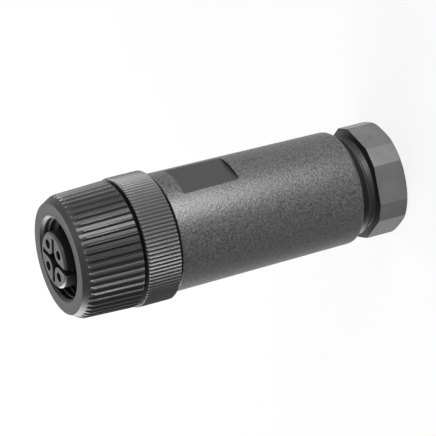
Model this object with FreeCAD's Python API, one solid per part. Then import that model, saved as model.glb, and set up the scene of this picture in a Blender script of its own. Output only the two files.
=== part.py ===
import FreeCAD, Part
import math
import os

# Depths are measured in mm from the front plane of the coupling ring, towards the cable end.
# The connector stands on the end of its pressure nut, with the mating face up.

# Socket insert and the sleeve round it
insert_proud = 0.8
plug_radius = 4.3
plug_edge = 0.3
journal_radius = 6.2
flange_step = 0.8
flange_thickness = 1.2
stem_step = 0.5
insert_shoulder = 0.4
stem_tail = 1.2
arm_width = 0.75
arm_reach = 3.65
arm_depth = 1.4
keyway_width = 1.0
keyway_depth = 0.45
peg_radius = 1.0
peg_length = 3.0

# Contacts and terminals
contact_count = 4
contact_circle = 2.65
contact_angle = 48.5
contact_bore = 0.75
contact_bore_length = 5.5
contact_radius = 1.1
contact_setback = 0.9
tine_slit = 0.2
tine_length = 4.4
terminal_radius = 1.5
terminal_length = 8.7
wire_radius = 0.9
wire_hole_length = 5.4
screw_radius = 1.0
screw_from_end = 2.55
screw_recess = 0.7
screw_slot_width = 0.35
screw_slot_depth = 0.6
block_floor = 1.05

# Knurled collar
collar_length = 5.65
collar_step = 0.82
collar_knurl_count = 104
collar_knurl_height = 0.26
collar_edge = 0.3
spigot_length = 5.5
spigot_wall = 0.8
snap_ring_thickness = 0.8
snap_ring_step = 0.75
snap_groove_depth = 0.5
snap_ring_gap_angle = 40.0

# Coupling ring
ring_length = 9.7
ring_gap = 0.5
ring_step = 0.2
ring_taper = 0.38
ring_chamfer_width = 0.85
ring_chamfer_depth = 1.55
ring_rear_edge = 0.25
ring_rib_count = 52
ring_rib_height = 0.42
ring_crest_share = 0.34
ring_valley_share = 0.42
ring_thread_radius = 5.46
ring_thread_end = 6.0
mouth_step = 0.74
mouth_depth = 1.15
mouth_bevel = 0.45
lip_thickness = 1.5

# Housing
housing_gap = 0.3
housing_length = 31.25
housing_mouth_wall = 0.68
housing_draft = 0.32
housing_wall = 2.2
housing_rear_round = 1.0
housing_front_edge = 0.2
flat_depth = 0.7
flat_setback = 2.8
flat_length = 9.3
seal_pocket_depth = 1.2
thread_runout = 1.1
ledge_from_end = 15.7
ledge_thickness = 1.5

# Cable gland
cable_hole = 4.5
cable_seal_length = 6.7
cable_seal_collar = 0.8
clamp_travel = 2.25
chamber_step = 1.25
finger_count = 8
finger_wall = 0.9
finger_slot = 0.9
cage_base_thickness = 1.2
cage_base_overlap = 0.8
washer_thickness = 0.6

# Pressure nut
nut_thread_step = 0.97
nut_head_length = 4.95
nut_corner_step = 0.04
nut_wide_facet = 39.8
nut_angle = -3.0
nut_facets = 6
nut_rear_round = 0.65
nut_mouth_round = 0.8

# Clearances
running_gap = 0.15
flange_gap = 0.2
axial_gap = 0.3
slip_gap = 0.05
screw_gap = 0.05
seal_gap = 0.1
clamp_gap = 0.3

# Section radii of the two ring seals
face_seal_section = 0.43
collar_seal_section = 0.48

axis_up = FreeCAD.Vector(0, 0, 1)
origin = FreeCAD.Vector(0, 0, 0)
full_turn = 360.0

# Radii that follow from the sizes above, from the insert outwards
flange_radius = journal_radius + flange_step
stem_radius = journal_radius - stem_step
shoulder_radius = plug_radius + insert_shoulder
snap_ring_radius = stem_radius + snap_ring_step
spigot_bore = snap_ring_radius + running_gap
block_radius = spigot_bore - axial_gap
spigot_radius = spigot_bore + spigot_wall
seal_pocket_radius = spigot_radius + slip_gap * 2 + collar_seal_section * 2
housing_radius = seal_pocket_radius + housing_mouth_wall
cavity_radius = housing_radius - housing_wall
collar_crest = housing_radius + collar_step
ring_rear_crest = collar_crest - ring_step
ring_front_crest = ring_rear_crest - ring_taper
ring_face_radius = ring_front_crest - ring_chamfer_width
mouth_radius = ring_thread_radius + mouth_step
housing_rear_radius = housing_radius - housing_draft
nut_thread_radius = housing_rear_radius - nut_thread_step
nut_corner_radius = housing_rear_radius - nut_corner_step
chamber_radius = nut_thread_radius - chamber_step
cage_radius = chamber_radius - seal_gap
cage_base_radius = chamber_radius + cage_base_overlap

# Depths that follow from the sizes above, from the front backwards
lip_start = ring_length - lip_thickness
flange_end = lip_start - axial_gap
flange_start = flange_end - flange_thickness
keyway_end = flange_start - face_seal_section * 3
shoulder_start = flange_end + slip_gap
collar_start = ring_length + ring_gap
collar_end = collar_start + collar_length
spigot_end = collar_end + spigot_length
stem_end = collar_end + stem_tail
barrel_start = stem_end + slip_gap
barrel_end = barrel_start + terminal_length
screw_depth = barrel_end - screw_from_end
block_end = barrel_end + block_floor
housing_start = collar_end + housing_gap
housing_end = housing_start + housing_length
flat_start = housing_start + flat_setback
flat_end = flat_start + flat_length
housing_thread_end = spigot_end + thread_runout
ledge_start = housing_end - ledge_from_end
ledge_end = ledge_start + ledge_thickness
cable_seal_end = ledge_end + cable_seal_length
crown_start = ledge_end + cable_seal_collar + clamp_travel
cage_base_start = cable_seal_end + slip_gap
cage_base_end = cage_base_start + cage_base_thickness
chamber_end = cage_base_start - clamp_travel - axial_gap
washer_start = cage_base_end + slip_gap
washer_end = washer_start + washer_thickness
nut_start = washer_end + slip_gap
nut_head_start = housing_end + clamp_travel + clamp_gap
nut_end = nut_head_start + nut_head_length

keyway_angle = contact_angle - full_turn / contact_count * 1.5


def at(radius, depth, angle=0.0):
    turn = math.radians(angle)
    return FreeCAD.Vector(radius * math.cos(turn), radius * math.sin(turn), nut_end - depth)


def turned(profile):
    corners = [at(radius, depth) for radius, depth in profile]
    outline = Part.makePolygon(corners + corners[:1])
    return Part.Face(outline).revolve(origin, axis_up, full_turn)


def rod(radius, start, end, circle=0.0, angle=0.0):
    return Part.makeCylinder(radius, end - start, at(circle, end, angle), axis_up)


def tube(outer, inner, start, end):
    return rod(outer, start, end).cut(rod(inner, start, end))


def radial_rod(radius, inner, outer, depth, angle):
    outward = at(1.0, nut_end, angle)
    return Part.makeCylinder(radius, outer - inner, at(inner, depth, angle), outward)


def radial_slab(width, inner, outer, start, end, angle):
    slab = Part.makeBox(outer - inner, width, end - start)
    slab.translate(FreeCAD.Vector(inner, -width / 2, nut_end - end))
    slab.rotate(origin, axis_up, angle)
    return slab


def circle_edges(solid, radius, depth):
    found = []
    for edge in solid.Edges:
        if edge.Curve.TypeId != "Part::GeomCircle":
            continue
        same_height = abs(edge.Curve.Center.z - (nut_end - depth)) < 1e-4
        if same_height and abs(edge.Curve.Radius - radius) < 1e-4:
            found.append(edge)
    return found


def ridged_outline(crest, valley, count, crest_share, valley_share, depth):
    # one crest and one valley to each pitch, with straight flanks between them
    pitch = full_turn / count
    corners = []
    for index in range(count):
        middle = index * pitch
        for radius, centre, share in ((crest, middle, crest_share), (valley, middle + pitch / 2, valley_share)):
            half = pitch * share / 2
            corners.append(at(radius, depth, centre - half))
            if half > 0:
                corners.append(at(radius, depth, centre + half))
    return corners


def prism_between(front, rear):
    # planar sides join two outlines that have the same number of corners
    count = len(front)
    faces = [Part.Face(Part.makePolygon(front + front[:1])), Part.Face(Part.makePolygon(rear + rear[:1]))]
    for index in range(count):
        after = (index + 1) % count
        loop = [front[index], front[after], rear[after], rear[index], front[index]]
        faces.append(Part.Face(Part.makePolygon(loop)))
    return Part.Solid(Part.makeShell(faces))


def coupling_ring():
    # tapered ribs that run out in the front chamfer, around a stepped bore
    front = ridged_outline(ring_front_crest, ring_front_crest - ring_rib_height, ring_rib_count,
                           ring_crest_share, ring_valley_share, 0.0)
    taper = ring_rear_crest / ring_front_crest
    rear = ridged_outline(ring_rear_crest, (ring_front_crest - ring_rib_height) * taper, ring_rib_count,
                          ring_crest_share, ring_valley_share, ring_length)
    ribs = prism_between(front, rear)
    chamfer_slope = (ring_rear_crest - ring_face_radius) / ring_chamfer_depth
    clear_radius = ring_rear_crest + 1.0
    clear_depth = (clear_radius - ring_face_radius) / chamfer_slope
    envelope = turned([(0.0, 0.0), (ring_face_radius, 0.0), (clear_radius, clear_depth),
                       (clear_radius, ring_length - ring_rear_edge * 2 - 1.0),
                       (ring_rear_crest, ring_length - ring_rear_edge * 2),
                       (ring_rear_crest - ring_rear_edge, ring_length), (0.0, ring_length)])
    relief_radius = flange_radius + flange_gap
    lip_bore = journal_radius + running_gap
    bevel_end = mouth_depth + mouth_bevel
    bore = turned([(0.0, 0.0), (mouth_radius, 0.0), (mouth_radius, mouth_depth),
                   (ring_thread_radius, bevel_end), (ring_thread_radius, ring_thread_end),
                   (relief_radius, ring_thread_end), (relief_radius, lip_start),
                   (lip_bore, lip_start), (lip_bore, ring_length), (0.0, ring_length)])
    return ribs.common(envelope).cut(bore)


def contact_places():
    return [contact_angle + index * full_turn / contact_count for index in range(contact_count)]


def socket_insert():
    # plug with a star-shaped pocket, stepped where it seats in its sleeve
    body = turned([(0.0, -insert_proud), (plug_radius - plug_edge, -insert_proud),
                   (plug_radius, plug_edge - insert_proud), (plug_radius, shoulder_start),
                   (shoulder_radius, shoulder_start), (shoulder_radius, stem_end), (0.0, stem_end)])
    body = body.cut(cross_pocket())
    keyway = radial_slab(keyway_width, plug_radius - keyway_depth, plug_radius + 1.0,
                         -insert_proud, keyway_end, keyway_angle)
    body = body.cut(keyway)
    for angle in contact_places():
        body = body.cut(rod(contact_bore, -insert_proud, contact_setback, contact_circle, angle))
        body = body.cut(rod(contact_radius + slip_gap, contact_setback - insert_proud, stem_end,
                            contact_circle, angle))
    return body.cut(rod(peg_radius + slip_gap, stem_end - peg_length - slip_gap, stem_end))


def insert_sleeve():
    # flange that holds the ring, journal that it turns on, and a grooved stem for the collar
    body = turned([(plug_radius + slip_gap, flange_start), (flange_radius, flange_start),
                   (flange_radius, flange_end), (journal_radius, flange_end),
                   (journal_radius, collar_start), (stem_radius, collar_start), (stem_radius, stem_end),
                   (shoulder_radius + slip_gap, stem_end),
                   (shoulder_radius + slip_gap, shoulder_start - slip_gap),
                   (plug_radius + slip_gap, shoulder_start - slip_gap)])
    groove_start = collar_end + slip_gap
    groove_end = groove_start + snap_ring_thickness + slip_gap
    return body.cut(tube(stem_radius + 1.0, stem_radius - snap_groove_depth, groove_start, groove_end))


def beside(along, aside, angle):
    # a point in the top plane of the plug, along a line from the axis and then square to it
    return at(along, -insert_proud, angle) + at(aside, nut_end, angle + 90.0)


def cross_pocket():
    # four arms that run between round bosses, one boss about each contact
    half = arm_width / 2
    half_step = full_turn / contact_count / 2
    tangent = contact_circle * math.cos(math.radians(half_step))
    boss_radius = tangent - half
    edges = []
    last = None
    for angle in contact_places():
        before = angle - half_step
        after = angle + half_step
        corners = [beside(arm_reach, half, before), beside(tangent, half, before),
                   beside(tangent, -half, after), beside(arm_reach, -half, after)]
        nearest = at(contact_circle - boss_radius, -insert_proud, angle)
        if last is not None:
            edges.append(Part.LineSegment(last, corners[0]).toShape())
        edges.append(Part.LineSegment(corners[0], corners[1]).toShape())
        edges.append(Part.Arc(corners[1], nearest, corners[2]).toShape())
        edges.append(Part.LineSegment(corners[2], corners[3]).toShape())
        last = corners[3]
    first = beside(arm_reach, half, contact_angle - half_step)
    edges.append(Part.LineSegment(last, first).toShape())
    pocket = Part.Face(Part.Wire(edges)).extrude(FreeCAD.Vector(0, 0, -arm_depth))
    # the arm that meets the keyway is open at its end
    opening = radial_slab(arm_width, 0.0, plug_radius + 1.0, -insert_proud, arm_depth - insert_proud,
                          keyway_angle)
    return pocket.fuse(opening)


def seal_ring(centre, depth, section):
    # eight-sided section, flat where the seal touches what it lies against
    profile = []
    for index in range(8):
        turn = math.radians(45 * index + 22.5)
        reach = section / math.cos(math.radians(22.5))
        profile.append((centre + reach * math.cos(turn), depth + reach * math.sin(turn)))
    return turned(profile)


def face_seal():
    centre = plug_radius + slip_gap + face_seal_section
    depth = flange_start - slip_gap - face_seal_section
    return seal_ring(centre, depth, face_seal_section)


def contact(angle):
    # turned socket with two tines and a terminal barrel drilled for the wire
    front = contact_setback - insert_proud + slip_gap
    bore_end = front + contact_bore_length
    body = turned([(contact_bore, front), (contact_radius, front), (contact_radius, barrel_start),
                   (terminal_radius, barrel_start), (terminal_radius, barrel_end),
                   (wire_radius, barrel_end), (wire_radius, barrel_end - wire_hole_length),
                   (0.0, barrel_end - wire_hole_length), (0.0, bore_end), (contact_bore, bore_end)])
    slit = radial_slab(tine_slit, -terminal_radius, terminal_radius, front, front + tine_length, 0.0)
    body = body.cut(slit)
    body = body.cut(radial_rod(screw_radius + screw_gap, 0.0, terminal_radius * 2, screw_depth, 0.0))
    body.translate(FreeCAD.Vector(contact_circle, 0, 0))
    body.rotate(origin, axis_up, angle)
    return body


def terminal_screw(angle):
    # headless slotted screw, driven in from the side of the terminal block
    inner = contact_circle + wire_radius / 2
    outer = block_radius - screw_recess
    body = radial_rod(screw_radius, inner, outer, screw_depth, 0.0)
    slot = radial_slab(screw_slot_width, outer - screw_slot_depth, outer,
                       screw_depth - screw_radius, screw_depth + screw_radius, 0.0)
    body = body.cut(slot)
    body.rotate(origin, axis_up, angle)
    return body


def terminal_block():
    # cup-like pockets trap the terminal barrels against the rear of the insert
    body = rod(block_radius, barrel_start, block_end)
    for angle in contact_places():
        body = body.cut(rod(terminal_radius + slip_gap, stem_end, barrel_end + slip_gap, contact_circle, angle))
        body = body.cut(rod(wire_radius + axial_gap, barrel_end, block_end, contact_circle, angle))
        body = body.cut(radial_rod(screw_radius + running_gap, contact_circle, block_radius + 1.0,
                                   screw_depth, angle))
    peg = rod(peg_radius, stem_end - peg_length, barrel_start)
    return body.fuse(peg).removeSplitter()


def knurled_collar():
    # fine straight knurl on the head, and a plain spigot where the housing screws on
    front = ridged_outline(collar_crest, collar_crest - collar_knurl_height, collar_knurl_count,
                           0.0, 0.0, collar_start)
    rear = ridged_outline(collar_crest, collar_crest - collar_knurl_height, collar_knurl_count,
                          0.0, 0.0, collar_end)
    knurl = prism_between(front, rear)
    edge_radius = collar_crest - collar_edge
    head = turned([(0.0, collar_start), (edge_radius, collar_start),
                   (collar_crest, collar_start + collar_edge), (collar_crest, collar_end - collar_edge),
                   (edge_radius, collar_end), (0.0, collar_end)])
    body = knurl.common(head).fuse(rod(spigot_radius, collar_end, spigot_end))
    body = body.cut(rod(stem_radius + slip_gap, collar_start, spigot_end))
    return body.cut(rod(spigot_bore, collar_end, spigot_end))


def snap_ring():
    # open spring ring in the groove of the stem, holding the collar on the insert
    start = collar_end + slip_gap
    inner = stem_radius - snap_groove_depth + slip_gap
    body = tube(snap_ring_radius, inner, start, start + snap_ring_thickness)
    opening = Part.makeCylinder(snap_ring_radius + 1.0, snap_ring_thickness,
                                at(0.0, start + snap_ring_thickness), axis_up, snap_ring_gap_angle)
    return body.cut(opening)


def collar_seal():
    centre = spigot_radius + slip_gap + collar_seal_section
    depth = housing_start + seal_pocket_depth - slip_gap - collar_seal_section
    return seal_ring(centre, depth, collar_seal_section)


def housing():
    # drafted sleeve with two spanner flats, a threaded mouth and the chamber for the gland
    body = turned([(0.0, housing_start), (housing_radius, housing_start),
                   (housing_rear_radius, housing_end), (0.0, housing_end)])
    body = body.makeFillet(housing_rear_round, circle_edges(body, housing_rear_radius, housing_end))
    body = body.makeChamfer(housing_front_edge, circle_edges(body, housing_radius, housing_start))
    for angle in (0.0, 180.0):
        body = body.cut(radial_slab(housing_radius * 2, housing_radius - flat_depth, housing_radius + 1.0,
                                    flat_start, flat_end, angle))
    mouth = spigot_radius + slip_gap
    nut_thread = nut_thread_radius + slip_gap
    pocket_end = housing_start + seal_pocket_depth
    bore = turned([(0.0, housing_start), (seal_pocket_radius, housing_start),
                   (seal_pocket_radius, pocket_end),
                   (mouth, pocket_end), (mouth, housing_thread_end), (cavity_radius, housing_thread_end),
                   (cavity_radius, ledge_start - (cavity_radius - cable_hole)),
                   (cable_hole, ledge_start), (cable_hole, ledge_end), (chamber_radius, ledge_end),
                   (chamber_radius, chamber_end), (nut_thread, chamber_end), (nut_thread, housing_end),
                   (0.0, housing_end)])
    return body.cut(bore)


def cable_seal():
    # soft sleeve whose rear half the fingers of the cage surround
    sleeve_radius = cage_radius - finger_wall - slip_gap
    collar_depth = ledge_end + cable_seal_collar
    return turned([(cable_hole, ledge_end), (cage_radius, ledge_end), (cage_radius, collar_depth),
                   (sleeve_radius, collar_depth), (sleeve_radius, cable_seal_end),
                   (cable_hole, cable_seal_end)])


def clamp_cage():
    # base ring with a crown of fingers that reach forward around the seal
    crown = tube(cage_radius, cage_radius - finger_wall, crown_start, cage_base_start)
    for index in range(finger_count // 2):
        angle = index * full_turn / finger_count
        crown = crown.cut(radial_slab(finger_slot, -cage_radius - 1.0, cage_radius + 1.0,
                                      crown_start, cage_base_start, angle))
    base = tube(cage_base_radius, cable_hole, cage_base_start, cage_base_end)
    return base.fuse(crown).removeSplitter()


def slip_washer():
    return tube(cage_base_radius, cable_hole, washer_start, washer_end)


def nut_outline(depth):
    # six wide facets and six narrow ones, which cut the corners off
    corners = []
    for index in range(nut_facets):
        middle = nut_angle + index * full_turn / nut_facets
        corners.append(at(nut_corner_radius, depth, middle - nut_wide_facet / 2))
        corners.append(at(nut_corner_radius, depth, middle + nut_wide_facet / 2))
    return corners


def pressure_nut():
    # twelve-sided head with rounded ends on a plain shank that carries the thread
    head = prism_between(nut_outline(nut_head_start), nut_outline(nut_end))
    form = rod(nut_corner_radius, nut_head_start, nut_end)
    form = form.makeFillet(nut_rear_round, circle_edges(form, nut_corner_radius, nut_end))
    body = head.common(form).fuse(rod(nut_thread_radius, nut_start, nut_head_start))
    body = body.cut(rod(cable_hole, nut_start, nut_end))
    return body.makeFillet(nut_mouth_round, circle_edges(body, cable_hole, nut_end))


def build_parts():
    parts = {
        "coupling_ring": coupling_ring(),
        "socket_insert": socket_insert(),
        "insert_sleeve": insert_sleeve(),
        "face_seal": face_seal(),
        "terminal_block": terminal_block(),
        "knurled_collar": knurled_collar(),
        "snap_ring": snap_ring(),
        "collar_seal": collar_seal(),
        "housing": housing(),
        "cable_seal": cable_seal(),
        "clamp_cage": clamp_cage(),
        "slip_washer": slip_washer(),
        "pressure_nut": pressure_nut(),
    }
    for number, angle in enumerate(contact_places(), start=1):
        parts[f"contact_{number}"] = contact(angle)
        parts[f"terminal_screw_{number}"] = terminal_screw(angle)
    return parts


os.makedirs("parts", exist_ok=True)
for name, shape in build_parts().items():
    shape.exportStep(f"parts/{name}.step")
    print(name, shape.isValid(), len(shape.Solids), round(shape.Volume, 2))
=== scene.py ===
from math import atan2, ceil, cos, degrees, hypot, pi, radians, sin, tau

import bmesh
import bpy
from mathutils import Matrix, Vector


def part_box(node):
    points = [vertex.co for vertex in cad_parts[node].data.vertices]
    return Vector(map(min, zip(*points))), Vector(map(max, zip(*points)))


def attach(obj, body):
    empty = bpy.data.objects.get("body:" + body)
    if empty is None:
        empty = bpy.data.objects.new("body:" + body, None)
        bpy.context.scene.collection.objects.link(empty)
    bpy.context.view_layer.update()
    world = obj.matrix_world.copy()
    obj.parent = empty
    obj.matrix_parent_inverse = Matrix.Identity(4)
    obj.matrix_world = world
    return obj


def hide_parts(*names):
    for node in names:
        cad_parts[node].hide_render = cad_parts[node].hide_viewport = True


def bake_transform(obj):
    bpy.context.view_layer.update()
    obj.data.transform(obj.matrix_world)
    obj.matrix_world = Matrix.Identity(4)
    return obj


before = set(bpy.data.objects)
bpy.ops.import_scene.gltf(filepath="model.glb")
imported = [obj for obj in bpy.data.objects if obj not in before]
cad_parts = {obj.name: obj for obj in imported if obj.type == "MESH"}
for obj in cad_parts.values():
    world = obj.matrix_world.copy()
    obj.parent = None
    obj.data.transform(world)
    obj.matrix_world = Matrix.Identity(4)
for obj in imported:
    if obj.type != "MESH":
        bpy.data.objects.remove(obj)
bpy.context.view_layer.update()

mm = 0.001
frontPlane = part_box("coupling_ring")[1].z
centre = (0, 0, 0)
upward = (0, 0, 1)
weldReach = 1e-7
cadWeldReach = 1e-6
cornerRows = 4
roundBevel = {"offset_type": "OFFSET", "profile": 0.5, "material": -1}
print("frame loaded")


def heightOf(depth):
    # depths are mm behind the coupling ring's front plane
    return frontPlane - depth * mm


def depthOf(height):
    return (frontPlane - height) / mm


def smoothStep(low, high, value):
    share = min(max((value - low) / (high - low), 0.0), 1.0)
    return share * share * (3 - 2 * share)


def aboutAxis(angle):
    return Matrix.Rotation(angle, 3, "Z")


def setRadius(vert, radius, wanted):
    vert.co.x *= wanted / radius
    vert.co.y *= wanted / radius


def turnedMesh(profile, steps, sectors, startAngle=0.0):
    # profile corners are (radius, depth, rounding) in mm
    # one sector is spun, then repeated round the axis and welded
    bm = bmesh.new()
    verts = [bm.verts.new((radius * mm, 0, heightOf(depth))) for radius, depth, rounding in profile]
    bm.faces.new(verts)
    for vert, (radius, depth, rounding) in zip(verts, profile):
        if rounding:
            bmesh.ops.bevel(bm, geom=[vert], offset=rounding * mm, segments=cornerRows,
                            affect="VERTICES", **roundBevel)
    bmesh.ops.delete(bm, geom=bm.faces[:], context="FACES_ONLY")
    bmesh.ops.rotate(bm, verts=bm.verts, cent=centre, matrix=aboutAxis(radians(startAngle)))
    bmesh.ops.spin(bm, geom=bm.verts[:] + bm.edges[:], cent=centre, axis=upward,
                   angle=tau / sectors, steps=steps // sectors)
    sector = bm.verts[:] + bm.edges[:] + bm.faces[:]
    for number in range(1, sectors):
        copy = bmesh.ops.duplicate(bm, geom=sector)["geom"]
        moved = [part for part in copy if isinstance(part, bmesh.types.BMVert)]
        bmesh.ops.rotate(bm, verts=moved, cent=centre, matrix=aboutAxis(tau * number / sectors))
    bmesh.ops.remove_doubles(bm, verts=bm.verts, dist=weldReach)
    bmesh.ops.recalc_face_normals(bm, faces=bm.faces)
    return bm


def helixRidge(bm, thread):
    # winds a closed trapezoid, its foot sunk in the wall, along the axis
    older = set(bm.verts)
    start, pitch, turns = thread["threadStart"], thread["pitch"], thread["threadTurns"]
    foot, footHalf = thread["threadFoot"], pitch / 2 * thread["footShare"]
    crest, crestHalf = thread["threadCrest"], pitch / 2 * thread["crestShare"]
    section = [(foot, -footHalf), (crest, -crestHalf), (crest, crestHalf), (foot, footHalf)]
    verts = [bm.verts.new((radius * mm, 0, heightOf(start + offset))) for radius, offset in section]
    face = bm.faces.new(verts)
    bmesh.ops.rotate(bm, verts=verts, cent=centre, matrix=aboutAxis(radians(thread["threadAngle"])))
    steps = ceil(turns * thread["threadSteps"])
    bmesh.ops.spin(bm, geom=[face], cent=centre, axis=upward, angle=-tau * turns,
                   dvec=(0, 0, -pitch * mm * turns / steps), steps=steps, use_duplicate=False)
    end = start + pitch * turns
    for vert in set(bm.verts) - older:
        # the thread runs out to its foot over its first and last part of a turn
        depth = depthOf(vert.co.z)
        radius = hypot(vert.co.x, vert.co.y) / mm
        share = smoothStep(0.0, pitch * thread["runOut"], min(depth - start, end - depth))
        setRadius(vert, radius, foot + (radius - foot) * share)


def moveRadially(bm, radiusFor, minRadius):
    # each outer point is drawn in to the radius that the shape allows there
    for vert in bm.verts:
        radius = hypot(vert.co.x, vert.co.y) / mm
        if radius < minRadius:
            continue
        allowed = radiusFor(degrees(atan2(vert.co.y, vert.co.x)), depthOf(vert.co.z))
        if allowed < radius:
            setRadius(vert, radius, allowed)


def newObject(name, bm):
    made = bpy.data.objects.new(name, bpy.data.meshes.new(name))
    bm.to_mesh(made.data)
    bm.free()
    bpy.context.scene.collection.objects.link(made)
    return made


def carved(bm, cutters):
    # takes the cutters' volume out with exact booleans
    target = newObject("carving", bm)
    helpers = [newObject("cutter", cutter) for cutter in cutters]
    for helper in helpers:
        modifier = target.modifiers.new("carve", "BOOLEAN")
        modifier.operation = "DIFFERENCE"
        modifier.solver = "EXACT"
        modifier.object = helper
    depsgraph = bpy.context.evaluated_depsgraph_get()
    result = bpy.data.meshes.new_from_object(target.evaluated_get(depsgraph))
    out = bmesh.new()
    out.from_mesh(result)
    for used in helpers + [target]:
        bpy.data.objects.remove(used)
    bpy.data.meshes.remove(result)
    return out


def boxMesh(low, high, turn):
    bm = bmesh.new()
    bmesh.ops.create_cube(bm, size=1.0)
    size = [b - a for a, b in zip(low, high)]
    middle = [(a + b) / 2 for a, b in zip(low, high)]
    bmesh.ops.scale(bm, vec=size, verts=bm.verts)
    bmesh.ops.translate(bm, vec=middle, verts=bm.verts)
    bmesh.ops.rotate(bm, verts=bm.verts, cent=centre, matrix=aboutAxis(radians(turn)))
    return bm


def paintedShadeFaces(bm, radii, depths):
    # faces between two radii and two depths take a darker material: painted shade for the recesses
    # round the threads
    for face in bm.faces:
        middle = face.calc_center_median()
        radius = hypot(middle.x, middle.y) / mm
        if radii[0] < radius < radii[1] and depths[0] < depthOf(middle.z) < depths[1]:
            face.material_index = 1


def finishPiece(name, bm, materials, body, node, sharpAngle=28.0):
    # smooth faces with crisp edges, then the piece takes its node's place
    bmesh.ops.remove_doubles(bm, verts=bm.verts, dist=weldReach)
    for face in bm.faces:
        face.smooth = True
    for edge in bm.edges:
        crisp = len(edge.link_faces) == 2 and edge.calc_face_angle(0.0) > radians(sharpAngle)
        edge.smooth = not crisp
    piece = newObject(name, bm)
    for material in materials:
        piece.data.materials.append(material)
    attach(piece, body)
    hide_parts(node)


class Wire:
    # wraps a shader socket so that sums and products write themselves as Math nodes
    def __init__(self, tree, socket=None):
        self.tree = tree
        self.socket = socket

    def add(self, kind, settings=None, inputs=None, output=0):
        node = self.tree.nodes.new(kind)
        for key, value in (settings or {}).items():
            setattr(node, key, value)
        for key, value in (inputs or {}).items():
            if isinstance(value, Wire):
                self.tree.links.new(value.socket, node.inputs[key])
            else:
                node.inputs[key].default_value = value
        return Wire(self.tree, node.outputs[output] if node.outputs else None)

    def math(self, operation, first, second):
        return self.add("ShaderNodeMath", {"operation": operation}, {0: first, 1: second})

    def __add__(self, other):
        return self.math("ADD", self, other)

    def __radd__(self, other):
        return self.math("ADD", other, self)

    def __sub__(self, other):
        return self.math("SUBTRACT", self, other)

    def __rsub__(self, other):
        return self.math("SUBTRACT", other, self)

    def __mul__(self, other):
        return self.math("MULTIPLY", self, other)

    def __rmul__(self, other):
        return self.math("MULTIPLY", other, self)


def freshWire(owner):
    # empties the node tree of a material or a world
    owner.use_nodes = True
    owner.node_tree.nodes.clear()
    return Wire(owner.node_tree)


def grey(level):
    return (level, level, level, 1.0)


def noise(place, scale, detail, harshness=0.5):
    return place.add("ShaderNodeTexNoise", None, {"Vector": place, "Scale": scale,
                                                  "Detail": detail, "Roughness": harshness})


def mixColour(share, first, second):
    # a Mix node takes its two colours at inputs 6 and 7 and gives their mixture at output 2
    return share.add("ShaderNodeMix", {"data_type": "RGBA"},
                     {"Factor": share, 6: first, 7: second}, output=2)


def bump(height, strength, depth):
    return height.add("ShaderNodeBump", None, {"Height": height, "Strength": strength,
                                               "Distance": depth * mm})


def newMaterial(name):
    material = bpy.data.materials.new(name)
    return material, freshWire(material).add("ShaderNodeTexCoord", output="Object")


def finishMaterial(wire, inputs):
    shader = wire.add("ShaderNodeBsdfPrincipled", None, inputs)
    wire.add("ShaderNodeOutputMaterial", None, {"Surface": shader})


def mouldedPlastic(name, look):
    # soft blotches of tone, slight gloss changes and a fine skin
    material, place = newMaterial(name)
    blotch = noise(place, look["blotchScale"], look["blotchDetail"])
    skin = noise(place, look["skinScale"], look["skinDetail"])
    finishMaterial(place, {
        "Base Color": mixColour(blotch, grey(look["dark"]), grey(look["light"])),
        "Roughness": look["roughness"] + (blotch - 0.5) * look["glossChange"],
        "Normal": bump(skin, look["skinStrength"], look["skinDepth"]),
        "Specular IOR Level": look["specular"]})
    return material


def grainedPlastic(name, look):
    # spark-eroded grain on the round sleeve, smooth on the spanner flats
    material, place = newMaterial(name)
    side = place.add("ShaderNodeSeparateXYZ", None, {"Vector": place}, output="X")
    height = place.add("ShaderNodeSeparateXYZ", None, {"Vector": place}, output="Z")
    beyond = place.math("GREATER_THAN", place.math("ABSOLUTE", side, 0.0), look["flatHalf"] * mm)
    above = place.math("GREATER_THAN", height, heightOf(look["flatEnd"]))
    below = place.math("LESS_THAN", height, heightOf(look["flatStart"]))
    onSleeve = 1.0 - beyond * above * below
    grain = noise(place, look["grainScale"], look["grainDetail"], look["grainHarshness"])
    speck = noise(place, look["speckScale"], look["speckDetail"])
    mixed = grain * look["grainShare"] + speck * look["speckShare"]
    spread = place.add("ShaderNodeMapRange", None, {"Value": mixed, "From Min": look["spreadLow"],
                                                    "From Max": look["spreadHigh"]})
    tone = mixColour(spread, grey(look["dark"]), grey(look["light"]))
    finishMaterial(place, {
        "Base Color": mixColour(onSleeve, grey(look["flatTone"]), tone),
        "Roughness": look["flatRoughness"] + onSleeve * (look["roughness"] - look["flatRoughness"]),
        "Normal": bump(mixed * onSleeve, look["grainStrength"], look["grainDepth"]),
        "Specular IOR Level": look["specular"]})
    return material


def platedMetal(name, look):
    # plated metal with a breath of tarnish that dulls its gloss
    material, place = newMaterial(name)
    haze = noise(place, look["hazeScale"], look["hazeDetail"])
    finishMaterial(place, {"Base Color": mixColour(haze, look["dark"], look["light"]),
                           "Roughness": look["roughness"] + haze * look["glossChange"],
                           "Metallic": 1.0})
    return material


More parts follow.
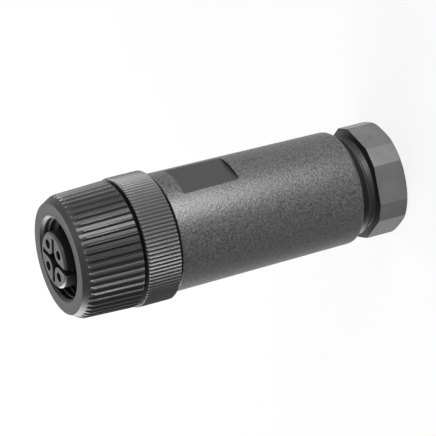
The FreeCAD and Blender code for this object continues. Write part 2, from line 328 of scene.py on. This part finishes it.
plasticLook = {"dark": 0.034, "light": 0.046, "roughness": 0.42, "glossChange": 0.1,
               "specular": 0.45, "blotchScale": 260.0, "blotchDetail": 3.0, "skinScale": 5200.0,
               "skinDetail": 2.0, "skinStrength": 0.18, "skinDepth": 0.02}
ringLook = {**plasticLook, "dark": 0.008, "light": 0.014, "specular": 0.25, "roughness": 0.44}
insertLook = {**plasticLook, "dark": 0.018, "light": 0.026, "roughness": 0.45, "specular": 0.35}
# painted shade: a near-black tone that stands in for the shade in the threaded recesses of the ring
# and the nut
paintedShadeLook = {**plasticLook, "dark": 0.008, "light": 0.012, "specular": 0.2, "roughness": 0.5}
nutLook = {**plasticLook, "dark": 0.02, "light": 0.056, "roughness": 0.33, "skinStrength": 0.12,
           "specular": 0.62}
cageLook = {**plasticLook, "dark": 0.09, "light": 0.11}
rubberLook = {**plasticLook, "dark": 0.012, "light": 0.018, "roughness": 0.75, "specular": 0.3}
sleeveLook = {"dark": 0.005, "light": 0.042, "flatTone": 0.009, "roughness": 0.43,
              "flatRoughness": 0.36, "specular": 0.4, "grainScale": 2600.0, "grainDetail": 2.5,
              "grainHarshness": 0.6, "grainShare": 0.55, "speckScale": 6500.0, "speckDetail": 1.0,
              "speckShare": 0.45, "spreadLow": 0.38, "spreadHigh": 0.62, "grainStrength": 1.0,
              "grainDepth": 0.1, "flatHalf": 8.43, "flatStart": 18.95, "flatEnd": 28.25}
goldLook = {"dark": (0.68, 0.46, 0.16, 1), "light": (0.85, 0.62, 0.28, 1), "roughness": 0.24,
            "glossChange": 0.12, "hazeScale": 900.0, "hazeDetail": 4.0}
steelLook = {"dark": (0.42, 0.42, 0.43, 1), "light": (0.6, 0.6, 0.61, 1), "roughness": 0.28,
             "glossChange": 0.15, "hazeScale": 900.0, "hazeDetail": 4.0}

ringPlastic = mouldedPlastic("ringPlastic", ringLook)
collarPlastic = mouldedPlastic("collarPlastic", plasticLook)
insertPlastic = mouldedPlastic("insertPlastic", insertLook)
nutPlastic = mouldedPlastic("nutPlastic", nutLook)
paintedShadePlastic = mouldedPlastic("paintedShadePlastic", paintedShadeLook)
cagePlastic = mouldedPlastic("cagePlastic", cageLook)
blackRubber = mouldedPlastic("blackRubber", rubberLook)
sleevePlastic = grainedPlastic("sleevePlastic", sleeveLook)
goldPlate = platedMetal("goldPlate", goldLook)
platedSteel = platedMetal("platedSteel", steelLook)
print("materials made")


def ribbedRing():
    ring = {"length": 9.7, "faceRadius": 8.53, "faceRound": 0.08, "frontCrest": 9.38,
            "rearCrest": 9.76, "chamferDepth": 1.55, "chamferReach": 1.1, "chamferRows": 16,
            "rearRound": 0.34, "ribs": 52, "ribHeight": 0.42, "ribReach": 0.3, "stepsPerRib": 14,
            "crestEdge": 0.05, "valleyEdge": 0.27, "mouth": 6.2, "mouthBevel": 0.45,
            "mouthRound": 0.06, "mouthDepth": 1.15, "boreRound": 0.05, "rootDepth": 1.27,
            "threadRoot": 6.02, "relief": 7.2, "reliefStart": 6.0, "lipStart": 8.2,
            "lipBore": 6.35, "lipRound": 0.15, "threadFoot": 6.12, "threadCrest": 5.46,
            "footShare": 0.95, "crestShare": 0.15, "pitch": 1.0, "threadStart": 2.08,
            "threadTurns": 3.32, "threadSteps": 72, "threadAngle": 200.0, "runOut": 0.25,
            "shadeRadius": 6.25, "shadeStart": 1.2}

    def crestAt(depth):
        rise = ring["rearCrest"] - ring["frontCrest"]
        return ring["frontCrest"] + rise * depth / ring["length"]

    slope = (ring["frontCrest"] - ring["faceRadius"]) / ring["chamferDepth"]
    profile = [(ring["mouth"] + ring["mouthBevel"], 0.0, ring["mouthRound"]),
               (ring["faceRadius"], 0.0, ring["faceRound"])]
    for row in range(1, ring["chamferRows"] + 1):
        depth = row * ring["chamferDepth"] * ring["chamferReach"] / ring["chamferRows"]
        profile.append((min(ring["faceRadius"] + slope * depth, crestAt(depth)), depth, 0))
    profile += [(crestAt(ring["length"]), ring["length"], ring["rearRound"]),
                (ring["lipBore"], ring["length"], ring["lipRound"]),
                (ring["lipBore"], ring["lipStart"], 0), (ring["relief"], ring["lipStart"], 0),
                (ring["relief"], ring["reliefStart"], 0),
                (ring["threadRoot"], ring["reliefStart"], 0),
                (ring["threadRoot"], ring["rootDepth"], 0),
                (ring["mouth"], ring["mouthDepth"], ring["boreRound"]),
                (ring["mouth"], ring["mouthBevel"], ring["boreRound"])]
    bm = turnedMesh(profile, ring["ribs"] * ring["stepsPerRib"], ring["ribs"])

    def ribRadius(angle, depth):
        share = (angle / 360 * ring["ribs"]) % 1.0
        fromCrest = min(share, 1.0 - share)
        valley = smoothStep(ring["crestEdge"], ring["valleyEdge"], fromCrest)
        return crestAt(depth) - ring["ribHeight"] * valley

    moveRadially(bm, ribRadius, ring["faceRadius"] - ring["ribReach"])
    helixRidge(bm, ring)
    # painted shade: the mouth's inner wall and the inner thread take the darker material
    paintedShadeFaces(bm, (0.0, ring["shadeRadius"]), (ring["shadeStart"], ring["length"]))
    finishPiece("ribbedRing", bm, [ringPlastic, paintedShadePlastic], "ring", "coupling_ring")


def fineCollar():
    collar = {"start": 10.2, "end": 15.85, "crest": 9.96, "knurls": 104, "knurlHeight": 0.34,
              "knurlReach": 0.1, "stepsPerKnurl": 8, "knurlsPerSector": 2, "frontRound": 0.3,
              "lipRound": 0.12, "groove": 8.7, "grooveWidth": 0.32, "spigot": 7.4,
              "spigotEnd": 21.35, "spigotRound": 0.3, "bore": 5.75, "rearBore": 6.6}
    end = collar["end"]
    lip = end - collar["grooveWidth"]
    profile = [(collar["bore"], collar["start"], 0),
               (collar["crest"], collar["start"], collar["frontRound"]),
               (collar["crest"], lip, collar["lipRound"]), (collar["groove"], lip, 0),
               (collar["groove"], end, 0), (collar["spigot"], end, 0),
               (collar["spigot"], collar["spigotEnd"], collar["spigotRound"]),
               (collar["rearBore"], collar["spigotEnd"], 0), (collar["rearBore"], end, 0),
               (collar["bore"], end, 0)]
    bm = turnedMesh(profile, collar["knurls"] * collar["stepsPerKnurl"],
                    collar["knurls"] // collar["knurlsPerSector"])

    def knurlRadius(angle, depth):
        share = (angle / 360 * collar["knurls"]) % 1.0
        return collar["crest"] - collar["knurlHeight"] * (0.5 - 0.5 * cos(share * tau))

    moveRadially(bm, knurlRadius, collar["groove"] + collar["knurlReach"])
    finishPiece("fineCollar", bm, [collarPlastic], "front", "knurled_collar")


def grainedSleeve():
    sleeve = {"start": 16.15, "end": 47.4, "radius": 9.14, "rearRadius": 8.82, "rearRound": 1.0,
              "frontRound": 0.2, "pocket": 8.46, "pocketEnd": 17.35, "mouth": 7.45,
              "mouthEnd": 22.45, "cavity": 6.94, "coneStart": 29.26, "ledge": 4.5,
              "ledgeStart": 31.7, "ledgeEnd": 33.2, "chamber": 6.6, "chamberEnd": 37.4,
              "nutBore": 7.9, "steps": 256, "sectors": 16, "flatHalf": 8.44, "flatStart": 18.95,
              "flatEnd": 28.25, "flatTurns": (0.0, 180.0), "cutReach": 12.0, "sharpAngle": 20.0}
    profile = [(sleeve["pocket"], sleeve["start"], 0),
               (sleeve["radius"], sleeve["start"], sleeve["frontRound"]),
               (sleeve["rearRadius"], sleeve["end"], sleeve["rearRound"]),
               (sleeve["nutBore"], sleeve["end"], 0),
               (sleeve["nutBore"], sleeve["chamberEnd"], 0),
               (sleeve["chamber"], sleeve["chamberEnd"], 0),
               (sleeve["chamber"], sleeve["ledgeEnd"], 0),
               (sleeve["ledge"], sleeve["ledgeEnd"], 0),
               (sleeve["ledge"], sleeve["ledgeStart"], 0),
               (sleeve["cavity"], sleeve["coneStart"], 0),
               (sleeve["cavity"], sleeve["mouthEnd"], 0),
               (sleeve["mouth"], sleeve["mouthEnd"], 0),
               (sleeve["mouth"], sleeve["pocketEnd"], 0),
               (sleeve["pocket"], sleeve["pocketEnd"], 0)]
    bm = turnedMesh(profile, sleeve["steps"], sleeve["sectors"])
    reach = sleeve["cutReach"] * mm
    low = (sleeve["flatHalf"] * mm, -reach, heightOf(sleeve["flatEnd"]))
    high = (reach, reach, heightOf(sleeve["flatStart"]))
    bm = carved(bm, [boxMesh(low, high, turn) for turn in sleeve["flatTurns"]])
    finishPiece("grainedSleeve", bm, [sleevePlastic], "sleeve", "housing",
                sleeve["sharpAngle"])


def glandNut():
    nut = {"start": 41.85, "headStart": 49.95, "end": 54.9, "bore": 4.5, "shankRound": 0.3,
           "neckRound": 0.1, "mouthRound": 0.8, "corner": 8.78, "frontRound": 0.08, "frontRows": 4,
           "rearRound": 0.65, "rearRows": 8, "wideFacets": 6, "wideFacet": 39.8, "angle": -3.0,
           "facetPlay": 1e-6, "facetReach": 7.95, "steps": 720, "sectors": 24, "threadRoot": 7.1,
           "threadFoot": 7.0, "threadCrest": 7.85, "footShare": 0.92, "crestShare": 0.14,
           "pitch": 1.5, "threadStart": 42.9, "threadTurns": 4.2, "threadSteps": 96,
           "threadAngle": 204.6, "runOut": 0.25, "shadeRadius": 4.7, "shadeEnd": 49.96,
           "markDepth": 52.25, "markFoot": 0.36, "markTop": 0.18, "markLength": 0.24,
           "markSteps": 32, "sharpAngle": 18.0}
    corner, frontRound, rearRound = nut["corner"], nut["frontRound"], nut["rearRound"]
    profile = [(nut["bore"], nut["start"], nut["shankRound"]),
               (nut["threadRoot"], nut["start"], nut["shankRound"]),
               (nut["threadRoot"], nut["headStart"], nut["neckRound"])]
    for row in range(nut["frontRows"] + 1):
        turn = row / nut["frontRows"] * pi / 2
        profile.append((corner - frontRound * (1 - sin(turn)),
                        nut["headStart"] + frontRound * (1 - cos(turn)), 0))
    for row in range(nut["rearRows"] + 1):
        turn = row / nut["rearRows"] * pi / 2
        profile.append((corner - rearRound * (1 - cos(turn)),
                        nut["end"] - rearRound * (1 - sin(turn)), 0))
    profile.append((nut["bore"], nut["end"], nut["mouthRound"]))
    half = nut["wideFacet"] / 2
    halfStep = 180 / nut["wideFacets"]
    wideApothem = corner * cos(radians(half))
    narrowApothem = corner * cos(radians(halfStep - half))
    bm = turnedMesh(profile, nut["steps"], nut["sectors"], nut["angle"] - half)

    def facetRadius(angle, depth):
        fromWide = (angle - nut["angle"] + halfStep) % (halfStep * 2) - halfStep
        if abs(fromWide) <= half + nut["facetPlay"]:
            return wideApothem / cos(radians(fromWide))
        return narrowApothem / cos(radians(halfStep - abs(fromWide)))

    moveRadially(bm, facetRadius, nut["facetReach"])
    helixRidge(bm, nut)
    # painted shade: the nut's shank, its thread and the head's front face in the gap take the
    # darker material
    paintedShadeFaces(bm, (nut["shadeRadius"], corner), (nut["start"], nut["shadeEnd"]))
    stand = (Matrix.Rotation(radians(nut["angle"]), 4, "Z")
             @ Matrix.Translation((wideApothem * mm, 0, heightOf(nut["markDepth"])))
             @ Matrix.Rotation(radians(90), 4, "Y"))
    bmesh.ops.create_cone(bm, cap_ends=True, segments=nut["markSteps"],
                          radius1=nut["markFoot"] * mm, radius2=nut["markTop"] * mm,
                          depth=nut["markLength"] * mm, matrix=stand)
    finishPiece("glandNut", bm, [nutPlastic, paintedShadePlastic], "nut", "pressure_nut",
                nut["sharpAngle"])


def contactCarrier():
    # the carrier's front edges are broken by a fine round, as a mould leaves them
    carrier = {"round": 0.11, "rows": 3, "sharpAngle": 40.0, "flatAngle": 1.0, "frontPlay": 0.02}
    bm = bmesh.new()
    bm.from_mesh(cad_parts["socket_insert"].data)
    bmesh.ops.remove_doubles(bm, verts=bm.verts, dist=cadWeldReach)
    bmesh.ops.dissolve_limit(bm, angle_limit=radians(carrier["flatAngle"]), verts=bm.verts,
                             edges=bm.edges)
    front = max(vert.co.z for vert in bm.verts) - carrier["frontPlay"] * mm
    sharp = radians(carrier["sharpAngle"])
    rims = []
    for edge in bm.edges:
        onFront = all(vert.co.z > front for vert in edge.verts)
        if onFront and len(edge.link_faces) == 2 and edge.calc_face_angle(0.0) > sharp:
            rims.append(edge)
    bmesh.ops.bevel(bm, geom=rims, offset=carrier["round"] * mm, segments=carrier["rows"],
                    affect="EDGES", clamp_overlap=True, **roundBevel)
    finishPiece("contactCarrier", bm, [insertPlastic], "front", "socket_insert")


def glandSeal():
    # the rubber sleeve is a welded copy of its node in black rubber; its fixed and cage ends are
    # worked out but not used
    seal = {"fixedEnd": 33.2, "cageEnd": 36.2}
    bm = bmesh.new()
    bm.from_mesh(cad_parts["cable_seal"].data)
    bmesh.ops.remove_doubles(bm, verts=bm.verts, dist=cadWeldReach)
    piece = newObject("glandSeal", bm)
    piece.data.materials.append(blackRubber)
    heightOf(seal["fixedEnd"])
    heightOf(seal["cageEnd"])
    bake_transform(piece)
    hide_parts("cable_seal")


print("modelling")
glandSeal()
ribbedRing()
fineCollar()
grainedSleeve()
glandNut()
contactCarrier()

innerFinish = {"insert_sleeve": insertPlastic, "terminal_block": insertPlastic,
               "face_seal": blackRubber, "collar_seal": blackRubber, "snap_ring": platedSteel,
               "clamp_cage": cagePlastic, "slip_washer": cagePlastic}
for number in range(1, 5):
    innerFinish[f"contact_{number}"] = goldPlate
    innerFinish[f"terminal_screw_{number}"] = platedSteel
for node, material in innerFinish.items():
    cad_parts[node].data.materials.clear()
    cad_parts[node].data.materials.append(material)
print("pieces made")


def seenRays(wire):
    # rays of the lens, and of a gloss or a clear piece, see the backdrop as plain white
    lens = wire.add("ShaderNodeLightPath", output="Is Camera Ray")
    gloss = wire.add("ShaderNodeLightPath", output="Is Glossy Ray")
    clear = wire.add("ShaderNodeLightPath", output="Is Transmission Ray")
    return wire.math("MAXIMUM", lens, wire.math("MAXIMUM", gloss, clear))


def studioWorld():
    sky = {"strength": 0.26, "tone": 1.0}
    world = bpy.data.worlds.new("studio")
    bpy.context.scene.world = world
    wire = freshWire(world)
    strength = sky["strength"] + seenRays(wire) * (1.0 - sky["strength"])
    shade = wire.add("ShaderNodeBackground", None,
                     {"Color": grey(sky["tone"]), "Strength": strength})
    wire.add("ShaderNodeOutputWorld", None, {"Surface": shade})


def studioFloor():
    floor = {"size": 1.2, "segments": 2, "tone": 0.85, "glow": 0.85, "white": 1.0}
    bm = bmesh.new()
    bmesh.ops.create_grid(bm, x_segments=floor["segments"], y_segments=floor["segments"],
                          size=floor["size"])
    piece = newObject("floor", bm)
    material = bpy.data.materials.new("paleFloor")
    wire = freshWire(material)
    card = wire.add("ShaderNodeBsdfDiffuse", None, {"Color": grey(floor["tone"])})
    white = wire.add("ShaderNodeEmission", None, {"Color": grey(floor["white"]), "Strength": 1.0})
    shader = wire.add("ShaderNodeMixShader", None,
                      {0: seenRays(wire) * floor["glow"], 1: card, 2: white})
    wire.add("ShaderNodeOutputMaterial", None, {"Surface": shader})
    piece.data.materials.append(material)


def areaLight(name, spec):
    # a soft box at an azimuth, a distance and a height, turned to a point on the part's axis
    lamp = bpy.data.lights.new(name, "AREA")
    lamp.shape = "RECTANGLE"
    lamp.size, lamp.size_y = spec["size"]
    lamp.energy = spec["power"]
    holder = bpy.data.objects.new(name, lamp)
    bpy.context.scene.collection.objects.link(holder)
    turn = radians(spec["azimuth"])
    holder.location = (cos(turn) * spec["distance"], sin(turn) * spec["distance"], spec["height"])
    aim = Vector((0, 0, spec["aim"])) - holder.location
    holder.rotation_euler = aim.to_track_quat("-Z", "Y").to_euler()


def camera():
    view = {"aim": (0, 0, 0.028325), "distance": 0.454308, "azimuth": -53.48, "elevation": 23.229,
            "roll": -104.494, "focalPixels": 3000.0, "imagePixels": 436.0, "sensor": 36.0,
            "nearClip": 0.01}
    turn = radians(view["azimuth"])
    lift = radians(view["elevation"])
    outward = Vector((cos(turn) * cos(lift), sin(turn) * cos(lift), sin(lift)))
    data = bpy.data.cameras.new("camera")
    data.sensor_width = view["sensor"]
    data.lens = view["focalPixels"] / view["imagePixels"] * view["sensor"]
    data.clip_start = view["nearClip"]
    holder = bpy.data.objects.new("camera", data)
    bpy.context.scene.collection.objects.link(holder)
    holder.location = Vector(view["aim"]) + outward * view["distance"]
    level = (-outward).to_track_quat("-Z", "Y").to_matrix()
    holder.rotation_euler = (level @ aboutAxis(radians(view["roll"]))).to_euler()
    bpy.context.scene.camera = holder


lamps = {"keyLight": {"size": (0.08, 0.03), "power": 3.5, "azimuth": -19.0, "distance": 0.35,
                      "height": 0.016, "aim": 0.01},
         "fillLight": {"size": (0.5, 0.3), "power": 4.6, "azimuth": 172.0, "distance": 0.5,
                       "height": 0.16, "aim": 0.03},
         "topLight": {"size": (0.3, 0.2), "power": 1.05, "azimuth": 110.0, "distance": 0.4,
                      "height": 0.4, "aim": 0.03}}

studioWorld()
studioFloor()
for name, spec in lamps.items():
    areaLight(name, spec)
camera()
bpy.context.scene.view_settings.view_transform = "Standard"
print("stage set")
